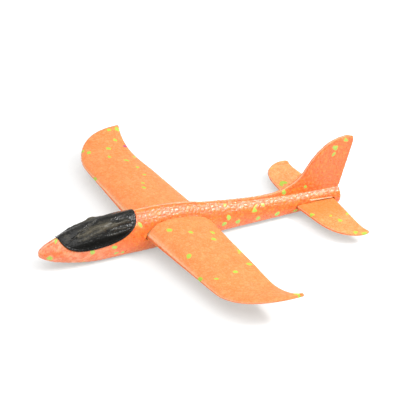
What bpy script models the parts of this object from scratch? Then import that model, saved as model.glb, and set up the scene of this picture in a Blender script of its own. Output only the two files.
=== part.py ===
"""Hand-launched foam glider, about 350 mm long with a 380 mm one-piece wing.

Five pieces: a moulded foam fuselage with its fin, a wing and a tailplane that push through
slots in it, a leather-look canopy, and a steel slug in the nose that balances the glider.

Metres. +X runs from the nose to the tail, +Y to the right wing tip, +Z up. The belly stands
on z = 0, and x = 0 is about halfway along the fuselage.
"""

import math

import bmesh
import bpy
import numpy as np
from mathutils import Vector
from mathutils.geometry import interpolate_bezier

MM = 0.001

# Driving dimensions, in millimetres
NOSE_X = -175.0
TAIL_X = 172.8              # the fin reaches further back
HALF_SPAN = 190.0
FIT_GAP = 0.35              # between pieces that touch
SLOT_SLACK = 0.8            # how far the tail slot gapes above the rear of the tailplane
CUTTER_REACH = 40.0         # sideways, well past the fuselage
SHARP_ANGLE = 35            # degrees, above which an edge is shaded sharp
CURVE_STEPS = 40            # for reading a height off a curve

# Fuselage outlines, each a chain of cubic curves: start, two handles, end
TOP_LINE = [
    [(NOSE_X, 18.0), (NOSE_X, 22.6), (-168.5, 27.4), (-157, 31.2)],
    [(-157, 31.2), (-140, 40.0), (-115, 44.8), (-85, 45.6)],
    [(-85, 45.6), (-62, 46.4), (-27, 47.4), (5, 39.2)],
    [(5, 39.2), (25, 34.2), (70, 28.7), (117, 25.5)],
    [(117, 25.5), (135, 24.6), (160, 24.4), (TAIL_X, 24.1)],
]
BELLY_LINE = [
    [(NOSE_X, 18.0), (-174.2, 13.5), (-164, 9.5), (-150, 5.8)],
    [(-150, 5.8), (-137, 2.4), (-122, -0.8), (-105, -0.8)],
    [(-105, -0.8), (-65, -0.8), (-35, -0.8), (5, -0.8)],
    [(5, -0.8), (15, -0.8), (25, 1.0), (45, 1.4)],
    [(45, 1.4), (90, 2.0), (130, 2.7), (TAIL_X, 3.1)],
]
HALF_WIDTH_LINE = [
    [(NOSE_X, 0.0), (NOSE_X, 6.6), (-166, 11.2), (-152, 13.8)],
    [(-152, 13.8), (-135, 16.9), (-115, 17.6), (-95, 17.6)],
    [(-95, 17.6), (-60, 17.6), (-30, 17.5), (0, 15.2)],
    [(0, 15.2), (20, 13.4), (60, 12.0), (117, 10.0)],
    [(117, 10.0), (140, 9.6), (160, 9.5), (TAIL_X, 9.3)],
]
ROOF_POWER = 1.6            # under 2 draws the upper half in towards the moulding ridge
BELLY_POWER = 2.0
RING_POINTS = 48
NOSE_RINGS = 8
NOSE_REACH = 25.0
BODY_RINGS = 52
END_ROUND = 2.2             # how far the rounded rear face stands out
END_TUCK = 3.6              # and how far it draws in
END_RINGS = 3

# Spine and fin, one upright blade moulded with the fuselage
BLADE_THICKNESS = 4.8
BLADE_ROUND = 1.5
OUTLINE_STEPS = 12          # along each curve of the blade's and the canopy's outlines
BLADE_OUTLINE = [
    [(-14, 41.2), (15, 36.9), (50, 31.2), (84, 29.3)],
    [(84, 29.3), (104, 28.2), (121, 35.6), (129.6, 46.4)],
    [(129.6, 46.4), (138.2, 60.2), (150.4, 75.4), (168, 78.5)],
    [(168, 78.5), (175, 79.8), (186.6, 80.8), (185.6, 74.9)],
    [(185.6, 74.9), (181.8, 59.0), (176.4, 39.5), (171.8, 22.0)],
]
BLADE_FOOT = [(168, 19), (120, 19), (60, 22), (0, 32), (-14, 36)]

# Wing: plan outline of the right half, leading edge and trailing edge
WING_LEADING = [
    [(-63.5, 0), (-59.6, 46), (-55.8, 92), (-51.9, 137.6)],
    [(-51.9, 137.6), (-51.6, 141.3), (-41.2, 199.0), (14.6, HALF_SPAN)],
]
WING_TRAILING = [
    [(13.2, 0), (12.6, 36), (11.9, 71), (11.2, 107.2)],
    [(11.2, 107.2), (11.1, 110.7), (6.0, 157.2), (15.4, HALF_SPAN)],
]
WING_FLOOR = 18.4           # height of its flat underside
WING_THICKNESS = [          # along the half span
    [(0, 15.9), (6, 15.9), (12, 15.9), (18, 15.9)],
    [(18, 15.9), (60, 12.0), (110, 8.8), (HALF_SPAN, 4.6)],
]
WING_STRAIGHT = 137.6       # the tips curl up outside this
TIP_CURL = 11.0
WING_SECTION = [            # along the chord from the nose, height over the flat underside
    [(0.0, 0.20), (0.0, 0.52), (0.11, 1.0), (0.34, 1.0)],
    [(0.34, 1.0), (0.62, 1.0), (0.88, 0.76), (0.985, 0.36)],
    [(0.985, 0.36), (1.005, 0.28), (1.005, 0.06), (0.97, 0.03)],
    [(0.97, 0.03), (0.65, -0.02), (0.38, 0.0), (0.07, 0.0)],
    [(0.07, 0.0), (0.025, 0.0), (0.0, 0.07), (0.0, 0.20)],
]
WING_SECTION_STEPS = 8
WING_RINGS = (9, 26)        # in the straight middle, and out to the rounded tip
TIP_CROWDING = 1.4          # over 1 draws the outer rings closer together

# Tailplane: plan outline of the right half
TAIL_LEADING = [
    [(117.8, 0), (119.2, 14.5), (120.7, 29), (122.1, 43.4)],
    [(122.1, 43.4), (127.3, 93.0), (170.6, 85.2), (159.4, 77.4)],
]
TAIL_TRAILING = [
    [(164.4, 0), (163.0, 18.7), (161.5, 37.3), (160.0, 56.0)],
    [(160.0, 56.0), (158.6, 72.2), (160.6, 75.6), (159.7, 77.3)],
]
TAIL_FLOOR = 10.6
TAIL_THICKNESS = [
    [(0, 4.2), (27, 4.2), (54, 3.9), (82, 2.8)],
]
TAIL_SECTION = [
    [(0.0, 0.45), (0.0, 0.85), (0.02, 1.0), (0.06, 1.0)],
    [(0.06, 1.0), (0.40, 1.0), (0.70, 0.95), (0.96, 0.80)],
    [(0.96, 0.80), (0.99, 0.78), (1.0, 0.66), (1.0, 0.50)],
    [(1.0, 0.50), (1.0, 0.30), (0.99, 0.16), (0.96, 0.14)],
    [(0.96, 0.14), (0.70, 0.0), (0.40, 0.0), (0.06, 0.0)],
    [(0.06, 0.0), (0.02, 0.0), (0.0, 0.12), (0.0, 0.45)],
]
TAIL_SECTION_STEPS = 4
TAIL_RINGS = (5, 16)

# Canopy, seen from the side; it lies in a shallow recess
CANOPY_OUTLINE = [
    [(-155.3, 35.5), (-153.5, 27.0), (-145.5, 21.6), (-128.0, 21.4)],
    [(-128.0, 21.4), (-100.0, 21.4), (-69.6, 28.0), (-70.2, 49.0)],
]
CANOPY_PROUD = 0.8
CANOPY_SUNK = 1.0
CANOPY_OVER = 60.0          # above the whole fuselage

# Balance slug under the canopy
SLUG_X = -146.0
SLUG_RADIUS = 4.0
SLUG_HEIGHT = 4.2
SLUG_BASE = 29.0
SLUG_SIDES = 24
SLUG_ROUND = 0.4
POCKET_DEPTH = 30.0         # its pocket opens upwards, under the canopy


def chain(pieces, steps):
    """Points along a chain of cubic curves, without repeats."""
    points = []
    for start, handle_1, handle_2, end in pieces:
        knots = [Vector(p) for p in (start, handle_1, handle_2, end)]
        points += [tuple(p) for p in interpolate_bezier(*knots, steps + 1)[:-1]]
    points.append(tuple(pieces[-1][3]))
    return np.array(points)


def line(pieces, at):
    """Height of a chain of curves over the place or places at."""
    points = chain(pieces, CURVE_STEPS)
    return np.interp(at, points[:, 0], points[:, 1])


def ring(x, grow):
    """One cross-section of the fuselage, its skin moved out by grow."""
    top = line(TOP_LINE, x) + grow
    belly = line(BELLY_LINE, x) - grow
    half_width = line(HALF_WIDTH_LINE, x) + grow
    middle = (top + belly) / 2
    points = []
    for i in range(RING_POINTS):
        angle = 2 * math.pi * i / RING_POINTS
        side, up = math.sin(angle), math.cos(angle)
        power = 2 / (ROOF_POWER if up > 0 else BELLY_POWER)
        y = half_width * math.copysign(abs(side) ** power, side)
        z = middle + (top - middle) * math.copysign(abs(up) ** power, up)
        points.append((x, y, z))
    return points


def shrink(points, inset, x):
    """A cross-section drawn in by inset and moved to x, for the rounded rear face."""
    points = np.array(points)
    middle = points.mean(axis=0)
    reach = np.abs(points[:, 1]).max()
    inner = middle + (points - middle) * (1 - inset / reach)
    inner[:, 0] = x
    return [tuple(p) for p in inner]


def new_object(name, mesh_builder, material=None):
    """An object from a bmesh in millimetres, with its scale already in its mesh."""
    bm = bmesh.new()
    mesh_builder(bm)
    bmesh.ops.scale(bm, vec=(MM, MM, MM), verts=bm.verts)
    bmesh.ops.recalc_face_normals(bm, faces=bm.faces)
    mesh = bpy.data.meshes.new(name)
    bm.to_mesh(mesh)
    bm.free()
    obj = bpy.data.objects.new(name, mesh)
    bpy.context.scene.collection.objects.link(obj)
    if material:
        mesh.materials.append(material)
        mesh.shade_smooth()
        mesh.set_sharp_from_angle(angle=math.radians(SHARP_ANGLE))
    return obj


def cutter(name, mesh_builder):
    """A hidden tool for Boolean modifiers."""
    obj = new_object(name, mesh_builder)
    obj.hide_render = True
    obj.display_type = "WIRE"
    return obj


def boolean(obj, operation, tool):
    modifier = obj.modifiers.new(f"{operation.lower()}_{tool.name}", "BOOLEAN")
    modifier.operation = operation
    modifier.solver = "EXACT"
    modifier.object = tool


def skin(bm, rings, first_is_point=False):
    """Join rings of equal length into a closed skin with flat or pointed ends."""
    loops = []
    for i, points in enumerate(rings):
        if i == 0 and first_is_point:
            loops.append([bm.verts.new(points[0])])
        else:
            loops.append([bm.verts.new(p) for p in points])
    for before, after in zip(loops, loops[1:]):
        count = len(after)
        for i in range(count):
            j = (i + 1) % count
            if len(before) == 1:
                bm.faces.new((before[0], after[i], after[j]))
            else:
                bm.faces.new((before[i], after[i], after[j], before[j]))
    if not first_is_point:
        bm.faces.new(loops[0])
    bm.faces.new(loops[-1])


def body_skin(grow, flat_belly):
    """The fuselage without its fin, as a closed skin moved out by grow."""
    def build(bm):
        rings = [[(NOSE_X - grow, 0, line(TOP_LINE, NOSE_X))]]
        for i in range(1, NOSE_RINGS + 1):
            rings.append(ring(NOSE_X + NOSE_REACH * (i / NOSE_RINGS) ** 2, grow))
        for x in np.linspace(NOSE_X + NOSE_REACH, TAIL_X - END_ROUND, BODY_RINGS)[1:]:
            rings.append(ring(x, grow))
        last = rings[-1]
        for i in range(1, END_RINGS + 1):
            turn = math.pi / 2 * i / END_RINGS
            x = TAIL_X - END_ROUND * (1 - math.sin(turn))
            rings.append(shrink(last, END_TUCK * (1 - math.cos(turn)), x))
        if flat_belly:
            rings = [[(x, y, max(z, 0.0)) for x, y, z in points] for points in rings]
        skin(bm, rings, first_is_point=True)
    return build


def prism(outline, low_y, high_y):
    """An outline in the XZ plane, extruded from low_y to high_y."""
    def build(bm):
        near = [bm.verts.new((x, low_y, z)) for x, z in outline]
        far = [bm.verts.new((x, high_y, z)) for x, z in outline]
        count = len(outline)
        for i in range(count):
            j = (i + 1) % count
            bm.faces.new((near[i], near[j], far[j], far[i]))
        bm.faces.new(near)
        bm.faces.new(far)
    return build


def offset_outline(outline, gap):
    """A closed outline moved outwards by gap."""
    points = np.array(outline)
    ahead = np.roll(points, -1, axis=0) - np.roll(points, 1, axis=0)
    ahead /= np.linalg.norm(ahead, axis=1)[:, None]
    normal = np.stack([ahead[:, 1], -ahead[:, 0]], axis=1)
    area = np.sum(points[:, 0] * np.roll(points[:, 1], -1) - points[:, 1] * np.roll(points[:, 0], -1))
    return points + normal * gap * math.copysign(1, area)


def section(pieces, steps):
    """A closed section in fractions of the chord and of the thickness."""
    return chain(pieces, steps)[:-1]


def blade_outline():
    return list(chain(BLADE_OUTLINE, OUTLINE_STEPS)) + [np.array(p) for p in BLADE_FOOT]


def round_blade(bm):
    """The fin and spine, with rounded edges."""
    half = BLADE_THICKNESS / 2
    prism(blade_outline(), -half, half)(bm)
    rim = [e for e in bm.edges if abs(e.verts[0].co.y - e.verts[1].co.y) < 1e-6]
    bmesh.ops.bevel(bm, geom=rim, offset=BLADE_ROUND, segments=2, profile=0.5, affect="EDGES")


def edge_points(path, straight_to, rings):
    """Points of a leading or trailing edge: evenly by span, then closer together to the tip."""
    points = chain(path, CURVE_STEPS)
    straight_rings, tip_rings = rings
    places = [straight_to * i / straight_rings for i in range(straight_rings)]
    edge = [(np.interp(y, points[:, 1], points[:, 0]), y) for y in places]
    outer = points[int(np.argmax(points[:, 1] >= straight_to - 1e-6)):]
    walked = np.concatenate([[0], np.cumsum(np.linalg.norm(np.diff(outer, axis=0), axis=1))])
    for i in range(tip_rings + 1):
        at = walked[-1] * (1 - (1 - i / tip_rings) ** TIP_CROWDING)
        edge.append((np.interp(at, walked, outer[:, 0]), np.interp(at, walked, outer[:, 1])))
    return edge


def lifting_surface(leading, trailing, straight_to, rings, profile, floor, thickness, curl):
    """A one-piece wing or tailplane, symmetric about the XZ plane."""
    front = edge_points(leading, straight_to, rings)
    back = edge_points(trailing, straight_to, rings)

    def ring_between(nose, tail):
        points = []
        for share, height in profile:
            x = nose[0] + (tail[0] - nose[0]) * share
            y = nose[1] + (tail[1] - nose[1]) * share
            points.append((x, y, floor + line(thickness, y) * height + curl(y)))
        return points

    def build(bm):
        right = [ring_between(nose, tail) for nose, tail in zip(front, back)]
        left = [[(x, -y, z) for x, y, z in points] for points in reversed(right[1:])]
        skin(bm, left + right)
    return build


def wing_curl(y):
    return TIP_CURL * (max(0.0, y - WING_STRAIGHT) / (HALF_SPAN - WING_STRAIGHT)) ** 2


def root_outline(leading, trailing, profile, floor, depth):
    """The middle section of a wing or tailplane, in millimetres."""
    nose = leading[0][0][0]
    chord = trailing[0][0][0] - nose
    return [(nose + chord * s, floor + depth * h) for s, h in profile]


def canopy_side(gap):
    """The canopy's side view, moved out by gap and closed above the fuselage."""
    edge = chain(CANOPY_OUTLINE, OUTLINE_STEPS)
    outline = np.array([(edge[0][0], CANOPY_OVER), *edge, (edge[-1][0], CANOPY_OVER)])
    return offset_outline(outline, gap)


def round_bar(x, base, height, radius):
    """An upright round bar on the centre plane."""
    def build(bm):
        bmesh.ops.create_cone(
            bm, cap_ends=True, segments=SLUG_SIDES, radius1=radius, radius2=radius, depth=height)
        bmesh.ops.translate(bm, verts=bm.verts, vec=(x, 0, base + height / 2))
    return build


def plain_material(name, colour, roughness, metallic=0.0):
    material = bpy.data.materials.new(name)
    material.use_nodes = True
    shader = material.node_tree.nodes["Principled BSDF"]
    shader.inputs["Base Color"].default_value = (*colour, 1)
    shader.inputs["Roughness"].default_value = roughness
    shader.inputs["Metallic"].default_value = metallic
    return material


def make_fuselage():
    foam = plain_material("orange_foam", (0.95, 0.30, 0.09), 0.5)
    fuselage = new_object("fuselage", body_skin(0.0, True), foam)
    blade = cutter("blade_solid", round_blade)
    boolean(fuselage, "UNION", blade)

    # shallow seat for the canopy: its outline, but only as deep as the canopy is sunk
    seat = cutter("seat_cutter", prism(canopy_side(FIT_GAP), -CUTTER_REACH, CUTTER_REACH))
    core = cutter("seat_core", body_skin(-CANOPY_SUNK - FIT_GAP, False))
    boolean(seat, "DIFFERENCE", core)
    boolean(fuselage, "DIFFERENCE", seat)

    wing_root = root_outline(
        WING_LEADING, WING_TRAILING, section(WING_SECTION, WING_SECTION_STEPS), WING_FLOOR,
        line(WING_THICKNESS, 0)
    )
    wing_slot = cutter("wing_slot_cutter", prism(
        offset_outline(wing_root, FIT_GAP), -CUTTER_REACH, CUTTER_REACH))
    boolean(fuselage, "DIFFERENCE", wing_slot)

    tail_root = root_outline(
        TAIL_LEADING, TAIL_TRAILING, section(TAIL_SECTION, TAIL_SECTION_STEPS), TAIL_FLOOR,
        line(TAIL_THICKNESS, 0)
    )
    slot = offset_outline(tail_root, FIT_GAP)
    middle = TAIL_FLOOR + line(TAIL_THICKNESS, 0) / 2
    share = np.clip((slot[:, 0] - slot[:, 0].min()) / np.ptp(slot[:, 0]), 0, 1)
    slot[:, 1] += np.where(slot[:, 1] > middle, SLOT_SLACK * np.clip(share * 2 - 0.5, 0, 1), 0)
    tail_slot = cutter("tail_slot_cutter", prism(slot, -CUTTER_REACH, CUTTER_REACH))
    boolean(fuselage, "DIFFERENCE", tail_slot)

    pocket = cutter("slug_pocket_cutter", round_bar(
        SLUG_X, SLUG_BASE - FIT_GAP, POCKET_DEPTH, SLUG_RADIUS + FIT_GAP))
    boolean(fuselage, "DIFFERENCE", pocket)
    return fuselage


def make_wing():
    foam = plain_material("orange_foam_wing", (0.96, 0.38, 0.13), 0.6)
    return new_object("wing", lifting_surface(
        WING_LEADING, WING_TRAILING, WING_TRAILING[0][-1][1], WING_RINGS,
        section(WING_SECTION, WING_SECTION_STEPS), WING_FLOOR, WING_THICKNESS, wing_curl), foam)


def make_tailplane():
    foam = plain_material("orange_foam_tailplane", (0.99, 0.38, 0.08), 0.6)
    return new_object("tailplane", lifting_surface(
        TAIL_LEADING, TAIL_TRAILING, TAIL_LEADING[0][-1][1], TAIL_RINGS,
        section(TAIL_SECTION, TAIL_SECTION_STEPS), TAIL_FLOOR, TAIL_THICKNESS, lambda y: 0.0), foam)


def make_canopy():
    leather = plain_material("black_leather_look", (0.03, 0.028, 0.025), 0.45)
    canopy = new_object("canopy", body_skin(CANOPY_PROUD, False), leather)
    side = cutter("canopy_side_cutter", prism(canopy_side(0.0), -CUTTER_REACH, CUTTER_REACH))
    inner = cutter("canopy_inner_cutter", body_skin(-CANOPY_SUNK, False))
    boolean(canopy, "INTERSECT", side)
    boolean(canopy, "DIFFERENCE", inner)
    return canopy


def make_nose_weight():
    steel = plain_material("zinc_plated_steel", (0.55, 0.55, 0.56), 0.35, 1.0)
    slug = new_object("nose_weight", round_bar(SLUG_X, SLUG_BASE, SLUG_HEIGHT, SLUG_RADIUS), steel)
    rounding = slug.modifiers.new("rounded_rims", "BEVEL")
    rounding.width = SLUG_ROUND * MM
    rounding.segments = 2
    rounding.limit_method = "ANGLE"
    return slug


def main():
    for obj in list(bpy.data.objects):
        bpy.data.objects.remove(obj, do_unlink=True)
    make_fuselage()
    make_wing()
    make_tailplane()
    make_canopy()
    make_nose_weight()


main()
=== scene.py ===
# The looks of the foam glider: fused-bead foam skins, a pressed canopy skin and a plated slug.

import math

import bpy
import numpy as np
from mathutils import Matrix, Vector, noise
from mathutils.bvhtree import BVHTree


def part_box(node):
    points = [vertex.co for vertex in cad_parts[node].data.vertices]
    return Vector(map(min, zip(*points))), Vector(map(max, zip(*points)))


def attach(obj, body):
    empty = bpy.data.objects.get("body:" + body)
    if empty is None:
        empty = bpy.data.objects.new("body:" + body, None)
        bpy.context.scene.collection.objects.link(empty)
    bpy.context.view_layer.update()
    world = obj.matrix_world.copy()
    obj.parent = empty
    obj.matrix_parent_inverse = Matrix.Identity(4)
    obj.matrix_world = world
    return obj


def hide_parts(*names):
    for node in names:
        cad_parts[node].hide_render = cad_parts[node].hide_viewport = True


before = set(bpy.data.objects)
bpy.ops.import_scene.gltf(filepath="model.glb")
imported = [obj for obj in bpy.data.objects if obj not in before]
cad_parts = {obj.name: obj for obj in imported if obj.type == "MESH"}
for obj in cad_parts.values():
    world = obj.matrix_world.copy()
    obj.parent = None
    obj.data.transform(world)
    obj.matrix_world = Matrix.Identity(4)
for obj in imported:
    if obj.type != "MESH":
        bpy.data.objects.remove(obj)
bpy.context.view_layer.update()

MM = 0.001


# ---------------------------------------------------------------- camera, floor and light

AZIMUTH, ELEVATION, ROLL = -31.6, 29.1, 4.3     # of the camera, in degrees
DISTANCE = 2.975                                # in metres
TARGET = Vector((6.6, 0, 41)) * MM              # what the camera looks at
LENS, SENSOR = 265.2, 36                        # focal length and width, in millimetres
NEAREST, FURTHEST = 0.5, 12                     # the clipping distances, in metres

FLOOR_REACH = 6.0                               # from the origin to its edges, in metres
FLOOR_GREY = 0.7                                # how light the paper is
FLOOR_GLOW = 0.3                                # lifts the paper to white, like a lit backdrop
STUDIO_LIGHT = 0.56                             # how strong the light from all round is


def direction(azimuth, elevation):
    """A unit vector. Azimuth 0 looks along +Y, so it points to -Y."""
    a, e = math.radians(azimuth), math.radians(elevation)
    return Vector((math.sin(a) * math.cos(e), -math.cos(a) * math.cos(e), math.sin(e)))


def add_camera():
    data = bpy.data.cameras.new("camera")
    data.lens = LENS
    data.sensor_width = SENSOR
    data.clip_start = NEAREST
    data.clip_end = FURTHEST
    camera = bpy.data.objects.new("camera", data)
    bpy.context.scene.collection.objects.link(camera)
    back = direction(AZIMUTH, ELEVATION)
    level = Vector((math.cos(math.radians(AZIMUTH)), math.sin(math.radians(AZIMUTH)), 0))
    turn = math.radians(ROLL)
    right = math.cos(turn) * level + math.sin(turn) * back.cross(level)
    pose = Matrix((right, back.cross(right), back)).transposed().to_4x4()
    pose.translation = TARGET + back * DISTANCE
    camera.matrix_world = pose
    bpy.context.scene.camera = camera
    bpy.context.scene.view_settings.view_transform = "Standard"


def add_floor():
    mesh = bpy.data.meshes.new("floor")
    reach = FLOOR_REACH
    mesh.from_pydata([(-reach, -reach, 0), (reach, -reach, 0), (reach, reach, 0), (-reach, reach, 0)],
                     [], [(0, 1, 2, 3)])
    floor = bpy.data.objects.new("floor", mesh)
    bpy.context.scene.collection.objects.link(floor)
    material = bpy.data.materials.new("floor_paper")
    material.use_nodes = True
    shader = material.node_tree.nodes["Principled BSDF"]
    shader.inputs["Base Color"].default_value = (FLOOR_GREY, FLOOR_GREY, FLOOR_GREY, 1)
    shader.inputs["Roughness"].default_value = 0.9
    shader.inputs["Emission Color"].default_value = (1, 1, 1, 1)
    shader.inputs["Emission Strength"].default_value = FLOOR_GLOW
    mesh.materials.append(material)


def add_world():
    world = bpy.data.worlds.new("studio")
    world.use_nodes = True
    background = world.node_tree.nodes["Background"]
    background.inputs["Color"].default_value = (1, 1, 1, 1)
    background.inputs["Strength"].default_value = STUDIO_LIGHT
    bpy.context.scene.world = world


def add_light(name, towards, distance, size, power):
    """A white softbox that stands in the given direction and shines on the origin."""
    data = bpy.data.lights.new(name, "AREA")
    data.shape = "RECTANGLE"
    data.size, data.size_y = size
    data.energy = power
    light = bpy.data.objects.new(name, data)
    bpy.context.scene.collection.objects.link(light)
    towards = Vector(towards).normalized()
    light.location = towards * distance
    light.rotation_euler = towards.to_track_quat("Z", "Y").to_euler()


def add_stage():
    add_floor()
    add_world()
    add_light("overhead_softbox", (-0.24, -0.28, 0.9), distance=1.7, size=(2.4, 2.0), power=25)
    add_light("strip_softbox", (0.57, -0.36, 0.74), distance=1.6, size=(0.9, 0.25), power=18)


# ---------------------------------------------------------------- mesh tools

SHRINK, SWELL = 0.55, -0.57     # relax takes turns with them, so that it keeps the volume


def fine_copy(node, name, voxel):
    """A fine, even mesh of a CAD node's shape."""
    rough = bpy.data.objects.new("rough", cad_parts[node].data.copy())
    bpy.context.scene.collection.objects.link(rough)
    remesh = rough.modifiers.new("even", "REMESH")
    remesh.mode = "VOXEL"
    remesh.voxel_size = voxel
    graph = bpy.context.evaluated_depsgraph_get()
    mesh = bpy.data.meshes.new_from_object(rough.evaluated_get(graph))
    bpy.data.objects.remove(rough)
    mesh.name = name
    mesh.materials.clear()
    piece = bpy.data.objects.new(name, mesh)
    bpy.context.scene.collection.objects.link(piece)
    mesh.shade_smooth()
    return piece


def points_of(mesh):
    points = np.empty(len(mesh.vertices) * 3, np.float32)
    mesh.vertices.foreach_get("co", points)
    return points.reshape(-1, 3).astype(float)


def normals_of(mesh):
    mesh.update()
    normals = np.empty(len(mesh.vertices) * 3, np.float32)
    mesh.vertices.foreach_get("normal", normals)
    return normals.reshape(-1, 3).astype(float)


def set_points(mesh, points):
    mesh.vertices.foreach_set("co", points.astype(np.float32).ravel())
    mesh.update()


def store(mesh, name, values):
    """Keep a value for each point of the mesh, for its material to read."""
    attribute = mesh.attributes.new(name, "FLOAT", "POINT")
    attribute.data.foreach_set("value", values.astype(np.float32))


def relax(mesh, rounds):
    """Smooth away the facets without shrinking the shape."""
    points = points_of(mesh)
    edges = np.empty(len(mesh.edges) * 2, np.int32)
    mesh.edges.foreach_get("vertices", edges)
    a, b = edges.reshape(-1, 2).T
    count = len(points)
    degree = np.bincount(a, minlength=count) + np.bincount(b, minlength=count)
    for pull in (SHRINK, SWELL) * rounds:
        mean = np.empty_like(points)
        for axis in range(3):
            mean[:, axis] = (np.bincount(a, points[b, axis], count)
                             + np.bincount(b, points[a, axis], count)) / degree
        points += pull * (mean - points)
    set_points(mesh, points)


def tree_of(node):
    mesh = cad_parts[node].data
    return BVHTree.FromPolygons([v.co for v in mesh.vertices], [p.vertices for p in mesh.polygons])


def hug(mesh, node, reach, gap):
    """Draw the lips of a slot up against the panel that fills it."""
    tree = tree_of(node)
    low, high = (np.array(corner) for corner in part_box(node))
    points = points_of(mesh)
    near = np.all((points > low - reach) & (points < high + reach), axis=1)
    for index in np.nonzero(near)[0]:
        point = Vector(points[index])
        foot, _, _, distance = tree.find_nearest(point, reach)
        if foot is not None and distance > gap:
            closer = gap + (reach - gap) * (distance / reach) ** 2
            points[index] = foot + (point - foot) * (closer / distance)
    set_points(mesh, points)


def wrinkle(points, size, seed=0.0):
    """Smooth noise, about -1 to 1, with features of the given size."""
    return np.array([noise.noise(Vector(p) / size + Vector((seed, seed, seed))) for p in points])


def bell(values, width):
    return np.exp(-(values / width) ** 2)


def smooth_step(low, high, values):
    """0 at low and 1 at high. It falls with the values where low is the larger."""
    t = np.clip((values - low) / (high - low), 0, 1)
    return t * t * (3 - 2 * t)


# ---------------------------------------------------------------- foam beads

BEAD = 5.4 * MM             # the size of a cell, which holds one bead
CELLS = 96                  # along each side of the block that the pieces are cut from
JITTER = 0.12, 0.88         # where a bead's middle can be in its cell, along each side
USUAL_WIDTH = 1.15          # of a bead, in cells
GROWTH = 0.06               # how much wider or narrower a plain bead may be, in cells
COLOURED_SHARE = 0.03       # of the beads that are out of sight
PINK_SHARE = 0.03           # of those coloured ones
PLAIN, YELLOW, PINK = 0, 1, 2
FAR = 9.0                   # stands for a bead that isn't near, in cells or in millimetres
SEAM = 0.4 * MM             # half the width of the crease between two beads
BULGE_REACH = 2.0 * MM      # how far in from its edge a bead still rises
BULGE_MEAN = 0.6            # taken off the bulges, so that they don't thicken the piece
TONE_RISE = 0.8             # how much higher a bead of tone 1 stands than one of 0, in domes
RAY_START = 300             # outside the glider, in millimetres
BEAD_DEPTH = 0.9 * MM       # of a coloured bead's middle under the skin


class Beads:
    """A block of fused foam beads, centred on the origin, that a piece is cut from."""

    def __init__(self, seed, coloured, hidden):
        """coloured lists (place, width, colour), and hidden tells which places are out of sight."""
        random = np.random.default_rng(seed)
        shape = (CELLS, CELLS, CELLS)
        self.middle = random.uniform(*JITTER, (*shape, 3)).astype(np.float32)
        self.tone = random.random(shape, np.float32)
        self.grow = random.uniform(-GROWTH, GROWTH, shape).astype(np.float32)
        corner = np.stack(np.indices(shape), -1) - CELLS // 2
        lucky = random.random(shape) < COLOURED_SHARE
        pinks = random.random(shape) < PINK_SHARE
        self.colour = np.where(lucky & hidden((corner + self.middle) * BEAD),
                               np.where(pinks, PINK, YELLOW), PLAIN).astype(np.int8)
        for place, width, colour in coloured:
            cell = np.floor(np.array(place) / BEAD).astype(int)
            index = tuple(cell + CELLS // 2)
            self.middle[index] = np.array(place) / BEAD - cell
            self.grow[index] = width * MM / BEAD - USUAL_WIDTH
            self.colour[index] = colour

    def at(self, points):
        """Distance to the bead's edge, the bead's tone and colour, and the next bead's colour."""
        cell = np.floor(points / BEAD).astype(int)
        first = np.full(len(points), FAR)
        second = np.full(len(points), FAR)
        tone, colour, next_colour = np.zeros((3, len(points)))
        for step in np.ndindex(3, 3, 3):
            other = cell + step - 1
            index = tuple(np.clip(other + CELLS // 2, 0, CELLS - 1).T)
            gap = np.linalg.norm(points / BEAD - other - self.middle[index], axis=1)
            gap -= self.grow[index]
            closer = gap < first
            runner_up = ~closer & (gap < second)
            second = np.where(closer, first, np.where(runner_up, gap, second))
            next_colour = np.where(closer, colour,
                                   np.where(runner_up, self.colour[index], next_colour))
            tone = np.where(closer, self.tone[index], tone)
            colour = np.where(closer, self.colour[index], colour)
            first = np.where(closer, gap, first)
        return (second - first) / 2 * BEAD, tone, colour, next_colour


def bead_relief(mesh, beads, crease, dome):
    """Sink the seams between beads, bulge the beads, and store what the materials need.

    crease is how deep the seams are, and dome how high a bead bulges. yellow and pink store the
    distance to a bead of that colour, in millimetres: below 0 inside it, and FAR where neither
    the bead nor the next one has that colour.
    """
    points = points_of(mesh)
    edge, tone, colour, next_colour = beads.at(points)
    seam = bell(edge, SEAM)
    bulge = smooth_step(0, BULGE_REACH, edge)
    shift = -crease * seam + dome * (bulge - BULGE_MEAN) + dome * TONE_RISE * (tone - 0.5)
    set_points(mesh, points + normals_of(mesh) * shift[:, None])
    store(mesh, "tone", tone)
    store(mesh, "seam", seam)
    for name, wanted in (("yellow", YELLOW), ("pink", PINK)):
        outside = np.where(colour == wanted, -edge, np.where(next_colour == wanted, edge, FAR * MM))
        store(mesh, name, outside / MM)


def on_surface(node, places, towards):
    """Coloured beads just under the skin, where a ray from outside meets the node.

    places lists (a, b, width) or (a, b, width, colour) in millimetres: along X and across Y
    for a ray going down, and along X and up Z for a ray going sideways to +Y.
    """
    tree = tree_of(node)
    towards = Vector(towards)
    found = []
    for a, b, width, *colour in places:
        start = Vector((a, b, RAY_START) if towards.z else (a, -RAY_START, b)) * MM
        hit = tree.ray_cast(start, towards)[0]
        if hit is not None:
            found.append((hit + towards * BEAD_DEPTH, width, colour[0] if colour else YELLOW))
    return found


# ---------------------------------------------------------------- materials

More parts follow.
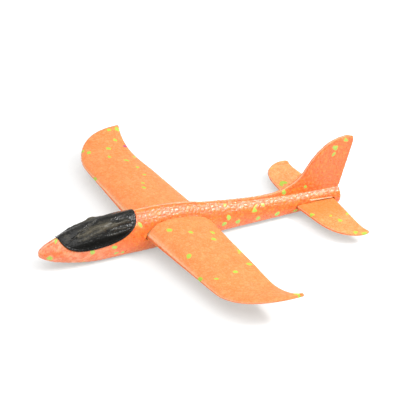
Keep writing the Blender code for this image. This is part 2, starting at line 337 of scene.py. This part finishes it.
class Nodes:
    """Short names for building a node material."""

    def __init__(self, name):
        self.material = bpy.data.materials.new(name)
        self.material.use_nodes = True
        self.tree = self.material.node_tree
        self.shader = self.tree.nodes["Principled BSDF"]

    def put(self, node, socket, value):
        """Link or set an input, which is named by its label or its number."""
        target = node.inputs[socket]
        if isinstance(value, bpy.types.NodeSocket):
            self.tree.links.new(value, target)
        else:
            target.default_value = value

    def add(self, kind, settings=(), **inputs):
        """A new node. Its inputs go by their labels, with _ for a space."""
        node = self.tree.nodes.new("ShaderNode" + kind)
        for key, value in dict(settings).items():
            setattr(node, key, value)
        for key, value in inputs.items():
            self.put(node, key.replace("_", " "), value)
        return node

    def attribute(self, name):
        return self.add("Attribute", {"attribute_name": name}).outputs["Fac"]

    def coordinates(self, stretch=(1, 1, 1)):
        """Places on the piece itself, so that a pattern rides with it."""
        place = self.add("TexCoord").outputs["Object"]
        return self.add("Mapping", Vector=place, Scale=stretch).outputs["Vector"]

    def noise(self, scale, detail, roughness, stretch=(1, 1, 1)):
        """Cloudy noise, about 0 to 1. A stretch under 1 draws it out along that axis."""
        node = self.add("TexNoise", Scale=scale, Detail=detail, Roughness=roughness,
                        Vector=self.coordinates(stretch))
        return node.outputs["Fac"]

    def cells(self, scale, feature):
        """Small cells, as the distance to their middles (F1) or their edges."""
        node = self.add("TexVoronoi", {"feature": feature}, Vector=self.coordinates(), Scale=scale)
        return node.outputs["Distance"]

    def remap(self, value, low, high, to_low=0.0, to_high=1.0):
        """Stretch low to high over to_low to to_high, eased at both ends."""
        node = self.add("MapRange", {"interpolation_type": "SMOOTHSTEP"}, Value=value,
                        From_Min=low, From_Max=high, To_Min=to_low, To_Max=to_high)
        return node.outputs["Result"]

    def math(self, operation, a, b):
        """A Math node's inputs share one label, so they go by number."""
        node = self.add("Math", {"operation": operation})
        self.put(node, 0, a)
        self.put(node, 1, b)
        return node.outputs[0]

    def plus(self, a, b):
        return self.math("ADD", a, b)

    def times(self, a, b):
        return self.math("MULTIPLY", a, b)

    def mix(self, share, under, over):
        """The colour under, with a share of the colour over it.

        A Mix node has inputs for each type of data. 0 is the share, and 6 and 7 are the colours.
        """
        node = self.add("Mix", {"data_type": "RGBA"})
        for socket, value in ((0, share), (6, under), (7, over)):
            self.put(node, socket, value)
        return node.outputs[2]

    def bump(self, height, strength, distance, below=None):
        """Normals as if height 1 stood out by distance, in metres. below is a coarser bump."""
        node = self.add("Bump", Height=height, Strength=strength, Distance=distance)
        if below is not None:
            self.put(node, "Normal", below)
        return node.outputs["Normal"]

    def neutral_bounce(self):
        """Light that bounces on from here is almost grey, so the floor's shadows stay grey."""
        grey = self.add("BsdfDiffuse", Color=(0.52, 0.45, 0.39, 1)).outputs[0]
        choice = self.add("MixShader")
        self.put(choice, 0, self.add("LightPath").outputs["Is Diffuse Ray"])
        self.put(choice, 1, self.shader.outputs[0])
        self.put(choice, 2, grey)
        self.put(self.tree.nodes["Material Output"], "Surface", choice.outputs[0])


def linear(red, green, blue):
    """A display colour from 0 to 255, as scene values."""
    return (*[(c / 255 / 12.92) if c <= 10 else ((c / 255 + 0.055) / 1.055) ** 2.4
              for c in (red, green, blue)], 1)


# Oranges of each moulding: its pale patches, most of its beads, and its deep ones.
FUSELAGE_ORANGES = linear(246, 164, 72), linear(242, 122, 24), linear(233, 89, 6)
WING_ORANGES = linear(244, 170, 114), linear(241, 150, 88), linear(229, 123, 56)
TAIL_ORANGES = linear(248, 198, 154), linear(244, 168, 106), linear(235, 132, 62)
# Painted shade in the nose's deep patches, and its pale streaks partly a painted highlight, partly
# rubbing.
NOSE_SHADE_ORANGE, NOSE_STREAK_ORANGE = linear(218, 104, 52), linear(244, 178, 138)
# Painted shade on the tailplane's root, next to the fin and the fuselage.
ROOT_SHADE_ORANGE = linear(236, 122, 44)
# A painted highlight along edges and ridges.
PAINTED_HIGHLIGHT_ORANGE = linear(252, 216, 176)
# Painted shade on the leading edge's face.
LEADING_EDGE_SHADE_ORANGE = linear(226, 84, 24)
YELLOWS = linear(158, 186, 48), linear(184, 206, 82)
PINKS = linear(176, 58, 106), linear(196, 84, 130)
BEAD_BLUR = 0.15            # half the soft edge of a coloured bead, in millimetres
TONE_SHARE = 0.1            # how much of the orange's shade is a bead's own, and not grain


def foam_colour(m, grain, oranges):
    """Mottled orange, deep in the seams, then painted shade, painted highlights and rubbing, then
    coloured beads.

    The nose's patches, the root's shade and the leading edge's shade are 0 on a piece that doesn't
    store them.
    """
    pale, light, deep = oranges
    shade = m.plus(m.times(m.attribute("tone"), TONE_SHARE), m.times(grain, 1 - TONE_SHARE))
    cloud = m.noise(420, 4, 0.8)
    colour = m.mix(m.remap(shade, 0.41, 0.59), deep, light)
    colour = m.mix(m.remap(cloud, 0.48, 0.66, 0, 0.6), colour, pale)
    colour = m.mix(m.times(m.attribute("seam"), 0.45), colour, deep)
    # The nose's patches: the deep ones are painted shade, the pale streaks partly painted highlight.
    nose_patches = m.mix(m.remap(m.noise(150, 4, 0.7), 0.42, 0.62), NOSE_SHADE_ORANGE, NOSE_STREAK_ORANGE)
    # In turn: the nose's patches, painted shade at the root, a painted highlight, painted shade on
    # the leading edge.
    for name, strength, over in (("wear_and_painted_light", 0.55, nose_patches), ("root_shade", 0.7, ROOT_SHADE_ORANGE),
                                 ("rim", 0.7, PAINTED_HIGHLIGHT_ORANGE), ("leading_edge_shade", 0.7, LEADING_EDGE_SHADE_ORANGE)):
        colour = m.mix(m.times(m.attribute(name), strength), colour, over)
    for name, shades in (("yellow", YELLOWS), ("pink", PINKS)):
        inside = m.remap(m.attribute(name), -BEAD_BLUR, BEAD_BLUR, 1, 0)
        colour = m.mix(inside, colour, m.mix(grain, *shades))
    return colour


def foam_material(name, oranges, gloss, shine, glints):
    """Fused foam beads with a moulded skin.

    gloss is the range of the roughness, shine is how much the skin reflects, and glints is how
    unevenly it does so.
    """
    m = Nodes(name)
    m.put(m.shader, "Base Color", foam_colour(m, m.noise(800, 4, 0.8), oranges))
    rough = m.plus(m.remap(m.noise(340, 3, 0.6), 0.35, 0.65, *gloss),
                   m.times(m.attribute("seam"), 0.1))
    m.put(m.shader, "Roughness", m.math("SUBTRACT", rough, m.times(m.attribute("rim"), 0.12)))
    normal = m.bump(m.noise(380, 3, 0.6), glints, 0.001)
    m.put(m.shader, "Normal", m.bump(m.cells(700, "F1"), 0.2, 0.0003, normal))
    m.put(m.shader, "Specular IOR Level", shine)
    m.put(m.shader, "Subsurface Weight", 0.35)
    m.put(m.shader, "Subsurface Radius", (1.0, 0.4, 0.15))
    m.put(m.shader, "Subsurface Scale", 0.0012)
    m.neutral_bounce()
    return m.material


def canopy_material():
    """Dark embossed skin: fine leather grain, paler on high spots of the upward faces: partly
    rubbing, partly a painted sheen.
    """
    m = Nodes("pressed_canopy_skin")
    leather = m.remap(m.cells(520, "DISTANCE_TO_EDGE"), 0.0, 0.2)
    wear_and_painted_light = m.attribute("wear_and_painted_light")
    high_spots = m.plus(m.noise(260, 4, 0.75, (0.3, 1, 1)), m.times(m.attribute("height"), 0.24))
    specks = m.remap(m.noise(800, 3, 0.8), 0.4, 0.6, 0.35, 1)
    # The pale tone on the upward faces is partly a painted sheen of the light from above, partly
    # rubbing.
    rubbed_and_sheen = m.times(m.times(m.remap(high_spots, 0.45, 1.0), wear_and_painted_light), specks)
    m.put(m.shader, "Base Color", m.mix(rubbed_and_sheen, linear(8, 8, 6), linear(92, 86, 70)))
    m.put(m.shader, "Roughness", m.remap(m.noise(160, 4, 0.6), 0.3, 0.7, 0.16, 0.38))
    normal = m.bump(leather, 0.25, 0.0002)
    m.put(m.shader, "Normal", m.bump(m.noise(150, 4, 0.6, (0.5, 1, 1)), 0.4, 0.001, normal))
    m.put(m.shader, "Specular IOR Level", m.remap(wear_and_painted_light, 0, 1, 0.14, 0.42))
    return m.material


def steel_material():
    """Zinc-plated steel with fine drawn streaks."""
    m = Nodes("zinc_plated_steel")
    streak = m.noise(900, 3, 0.6, (1, 1, 0.1))
    m.put(m.shader, "Metallic", 1.0)
    m.put(m.shader, "Base Color", m.mix(streak, (0.46, 0.46, 0.48, 1), (0.66, 0.66, 0.67, 1)))
    m.put(m.shader, "Roughness", m.remap(streak, 0.3, 0.7, 0.28, 0.45))
    m.put(m.shader, "Normal", m.bump(streak, 0.3, 0.0001))
    return m.material


# ---------------------------------------------------------------- fuselage

# Where the larger coloured beads show: along X, up Z, and how wide, in millimetres.
SIDE_BEADS = [(-157, 31, 5), (-166, 17, 6), (-124, 18, 6), (-99, 20, 6), (-95, 11, 5), (-87, 9, 4),
              (-68, 36, 5), (0, 30, 5), (34, 31, 5), (34, 21, 6), (30, 15, 5), (46, 14, 5),
              (66, 20, 6), (70, 24, 5), (78, 23, 5), (71, 11, 6), (94, 11, 6), (118, 9, 5),
              (107, 30, 5), (175, 76, 6), (163, 70, 6), (162, 62, 5), (131, 31, 5)]
FAR_SIDE, BELLY = 3 * MM, 4 * MM    # the beads beyond the one and below the other are out of sight
NOSE_PATCHES_FROM, NOSE_PATCHES_TO = -70, -140      # along X, where the nose's painted shade and pale streaks start and are full
SLIT_FRONT, SLIT_REAR = 133, 163    # along X, the slit above the tailplane's root
SLIT_FADE = 3
SLIT_UP, SLIT_AT = 18.3, 135        # how high it is at one place along X
SLIT_FALL = 0.08                    # how fast it falls from there to the rear
LIP_DROP = 1.1                      # from the slit down to the lip below it


def slit_and_lip(x, z, sideways):
    """The slit above the tailplane's root, and the raised lip under it."""
    along = smooth_step(SLIT_FRONT, SLIT_FRONT + SLIT_FADE, x)
    along *= smooth_step(SLIT_REAR, SLIT_REAR - SLIT_FADE, x)
    along *= smooth_step(0.5, 0.8, sideways)
    above = z - SLIT_UP + SLIT_FALL * (x - SLIT_AT)
    return bell(above, 0.45) * along, bell(above + LIP_DROP, 0.5) * along


def far_side_or_belly(places):
    return (places[..., 1] > FAR_SIDE) | (places[..., 2] < BELLY)


def make_fuselage():
    piece = fine_copy("fuselage", "fuselage_skin", voxel=0.55 * MM)
    mesh = piece.data
    relax(mesh, rounds=10)
    hug(mesh, "wing", reach=2.6 * MM, gap=0.03 * MM)
    hug(mesh, "tailplane", reach=1.8 * MM, gap=0.03 * MM)
    beads = Beads(3, on_surface("fuselage", SIDE_BEADS, (0, 1, 0)), far_side_or_belly)
    bead_relief(mesh, beads, crease=0.14 * MM, dome=0.14 * MM)
    points, normals = points_of(mesh), normals_of(mesh)
    x, y, z = points.T / MM
    sideways = np.abs(normals[:, 1])
    # The mould's halves met on the centre plane. The line fades out where the skin faces sideways.
    parting_line = bell(y, 0.7) * smooth_step(0.75, 0.35, sideways)
    slit, lip = slit_and_lip(x, z, sideways)
    shift = 0.5 * parting_line - 0.7 * slit + 0.4 * lip
    set_points(mesh, points + normals * shift[:, None] * MM)
    # A painted highlight along the parting line on top and along the lip under the slit.
    store(mesh, "rim", np.maximum(0.8 * parting_line, lip))
    # Painted shade in the nose's deep patches, with pale streaks that are partly a painted highlight.
    store(mesh, "wear_and_painted_light", smooth_step(NOSE_PATCHES_FROM, NOSE_PATCHES_TO, x))
    mesh.materials.append(foam_material(
        "fuselage_foam", FUSELAGE_ORANGES, gloss=(0.24, 0.46), shine=0.85, glints=0.2))
    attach(piece, "glider_body")
    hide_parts("fuselage")


# ---------------------------------------------------------------- wing and tailplane

# Where the larger coloured beads show: along X, across Y, and how wide, in millimetres.
WING_BEADS = [(-44, -28, 6), (-26, -40, 5), (-2, -44, 5), (-9, -57, 5), (-39, -63, 4),
              (-47, -75, 6), (-53, -108, 5), (-42, -119, 5), (-18, -117, 5), (-5, -100, 4),
              (8, -79, 6), (5, -84, 5), (5, -106, 6), (9, -187, 7),
              (1, 186, 5), (11, 184, 5), (1, 170, 5), (-13, 157, 5), (-37, 159, 5), (-39, 165, 5),
              (-21, 141, 5), (-8, 128, 5), (6, 137, 5), (-5, 110, 5), (-7, 91, 5), (-19, 72, 5),
              (-24, 61, 5), (-53, 112, 5), (7, 159, 5, PINK)]
TAIL_BEADS = [(123, -31, 5), (140, -40, 5), (145, -52, 6), (159, -43, 5), (146, -78, 5),
              (154, -82, 6), (130, 38, 7), (126, 36, 6), (160, 73, 7)]
ROOT_SHADE_FROM, ROOT_SHADE_TO = -50, -25     # across Y, where the painted shade at the root starts and is full
MIDDLE = 10                         # half the width that the fuselage hides
TIP_SHADE = 0.3                     # how much painted shade the tip gets, next to the root's 1
TIP = 0.72                          # where the tips' extra curl starts, as a share of the half span
WING_UNDERSIDE = 20 * MM            # the wing's beads below this are out of sight
TAIL_UNDERSIDE = 9.5 * MM           # and the tailplane's below this


def left_root_shade(y):
    """How much painted shade the left half gets: most at the root, less at the tip."""
    root = smooth_step(ROOT_SHADE_FROM, ROOT_SHADE_TO, y)
    return smooth_step(MIDDLE, -MIDDLE, y) * (TIP_SHADE + (1 - TIP_SHADE) * root)


def make_panel(node, body, voxel, beads, tip_bend, root_shade, oranges):
    """The wing or the tailplane: one flat moulding with a parting line round its edge.

    tip_bend is how much further the left and the right tip curl up than in CAD, in millimetres.
    The argument after tip_bend is 1 to paint shade on the left half, deepest at the root, or else 0.
    """
    piece = fine_copy(node, node + "_skin", voxel)
    mesh = piece.data
    relax(mesh, rounds=8)
    points = points_of(mesh)
    reach = np.abs(points[:, 1]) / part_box(node)[1][1]
    bend = np.where(points[:, 1] < 0, *tip_bend) * smooth_step(TIP, 1.0, reach)
    points[:, 2] += bend * MM
    set_points(mesh, points)
    bead_relief(mesh, beads, crease=0.09 * MM, dome=0.06 * MM)
    points, normals = points_of(mesh), normals_of(mesh)
    upwards = normals[:, 2]
    # Here the halves met where the skin faces neither up nor down.
    parting_line = 0.5 * bell(upwards, 0.14)
    set_points(mesh, points + normals * parting_line[:, None] * MM)
    # A painted highlight runs along the top of the leading edge, and painted shade on the face below
    # it.
    leading = smooth_step(0.3, 0.7, -normals[:, 0])
    store(mesh, "rim", 0.8 * bell(upwards - 0.5, 0.2) * leading)
    # Painted shade on the leading edge's forward face, below the painted highlight.
    store(mesh, "leading_edge_shade", bell(upwards - 0.1, 0.25) * leading)
    # Painted shade on the left half, deepest at the root, where the fin and the fuselage shade it.
    store(mesh, "root_shade", root_shade * left_root_shade(points[:, 1] / MM))
    mesh.materials.append(foam_material(
        node + "_foam", oranges, gloss=(0.4, 0.6), shine=0.5, glints=0.3))
    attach(piece, body)
    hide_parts(node)


def make_wing():
    beads = Beads(5, on_surface("wing", WING_BEADS, (0, 0, -1)),
                  lambda places: places[..., 2] < WING_UNDERSIDE)
    make_panel("wing", "wing_panel", voxel=0.6 * MM, beads=beads,
               tip_bend=(1.4, -1.3), root_shade=0, oranges=WING_ORANGES)


def make_tailplane():
    beads = Beads(7, on_surface("tailplane", TAIL_BEADS, (0, 0, -1)),
                  lambda places: places[..., 2] < TAIL_UNDERSIDE)
    make_panel("tailplane", "tail_panel", voxel=0.4 * MM, beads=beads,
               tip_bend=(0, 0), root_shade=1, oranges=TAIL_ORANGES)


# ---------------------------------------------------------------- canopy and slug

# Long wrinkles pressed into both sides of the canopy: x and z of their two ends, in millimetres.
CANOPY_WRINKLES = [(-139, 35, -100, 42.5), (-133, 32.5, -106, 38.5), (-118, 39, -78, 41)]
CANOPY_CREASES = 26         # finer ones, at random
CREASE_STARTS = -142, -84   # along X
# The canopy's top line, which the creases follow: x and z.
TOP_X, TOP_Z = (-155, -135, -110, -65), (32, 39.5, 45, 45)
STATION = 2                 # between the places along X where the rim's height is read
FOLD_X = -113               # where the fold crosses the centre plane


def height_over_rim(x, z):
    """How high each point is over the canopy's lower edge at its own place along X."""
    low, high = (np.array(corner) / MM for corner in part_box("canopy"))
    stations = np.arange(low[0], high[0] + STATION, STATION)
    nearest = np.digitize(x, stations) - 1
    rim = np.array([z[nearest == i].min() if np.any(nearest == i) else high[2]
                    for i in range(len(stations))])
    return z - np.interp(x, stations + STATION / 2, rim)


def canopy_fold(x, y):
    """A ridge over the top, with a dip before it, that runs forward down both sides."""
    brow = FOLD_X - 1.9 * np.abs(y) - 0.16 * y * y
    ridge = (0.8 + 0.4 * bell(y, 3)) * bell(x - brow, 1.7)
    dip = 0.5 * bell(x - brow + 3.2, 1.4)
    return (ridge - dip) * smooth_step(-150, -140, x)


def canopy_creases(x, y, z):
    """Fine creases at random along both sides, and the few long wrinkles."""
    creases = np.zeros(len(x))
    random = np.random.default_rng(11)
    for _ in range(CANOPY_CREASES):
        side = random.choice((-1, 1))
        # drop is how far under the top line it runs.
        start, drop = random.uniform(*CREASE_STARTS), random.uniform(1, 13)
        length, height = random.uniform(10, 34), random.uniform(0.2, 0.6)
        width = random.uniform(0.8, 1.6)
        top = np.interp(x, TOP_X, TOP_Z)
        across = z - (top - drop + 0.06 * (x - start) + 0.6 * np.sin(x / 7 + drop))
        along = smooth_step(start, start + 4, x) * smooth_step(start + length, start + length - 6, x)
        creases += height * bell(across, width) * along * (y * side > 0)
    for start, start_up, end, end_up in CANOPY_WRINKLES:
        across = z - np.interp(x, (start, end), (start_up, end_up)) - 0.5 * np.sin(x / 5)
        along = smooth_step(start - 2, start + 3, x) * smooth_step(end + 2, end - 4, x)
        creases += 1.4 * bell(across, 1.2) * along
    return creases


def make_canopy():
    piece = fine_copy("canopy", "canopy_skin", voxel=0.35 * MM)
    mesh = piece.data
    relax(mesh, rounds=6)
    points, normals = points_of(mesh), normals_of(mesh)
    x, y, z = points.T / MM
    above_rim = height_over_rim(x, z)
    # The relief is all on the outside, and it fades out towards the rim.
    outside = smooth_step(0.0, 0.5, normals[:, 2] + 0.6 * np.abs(normals[:, 1]))
    inner = smooth_step(1.0, 4.0, above_rim) * outside
    grain = 0.16 * wrinkle(points, 2.2 * MM) + 0.1 * wrinkle(points, 1.1 * MM, 5.0)
    lumps = 0.35 * wrinkle(points * (0.5, 1, 1), 7 * MM, 3.0)
    # Creases and lumps are weak along the top.
    aside = 0.15 + 0.85 * smooth_step(1.0, 5.0, np.abs(y))
    shift = (canopy_fold(x, y) + (canopy_creases(x, y, z) + lumps) * aside + grain) * inner
    # The rim itself is a low ridge, with a shallow groove over it.
    pressed_rim = 0.45 * bell(above_rim - 1.2, 0.8) - 0.3 * bell(above_rim - 3.0, 0.8)
    shift += pressed_rim * outside
    set_points(mesh, points + normals * shift[:, None] * MM)
    store(mesh, "height", shift)
    # The upward faces: the pale tone there is partly a painted sheen of the light from above, and the
    # skin reflects more.
    store(mesh, "wear_and_painted_light", smooth_step(0.38, 0.6, normals[:, 2]))
    mesh.materials.append(canopy_material())
    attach(piece, "glider_body")
    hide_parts("canopy")


def finish_slug():
    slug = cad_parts["nose_weight"]
    slug.data.materials.clear()
    slug.data.materials.append(steel_material())


add_camera()
add_stage()
make_fuselage()
make_wing()
make_tailplane()
make_canopy()
finish_slug()
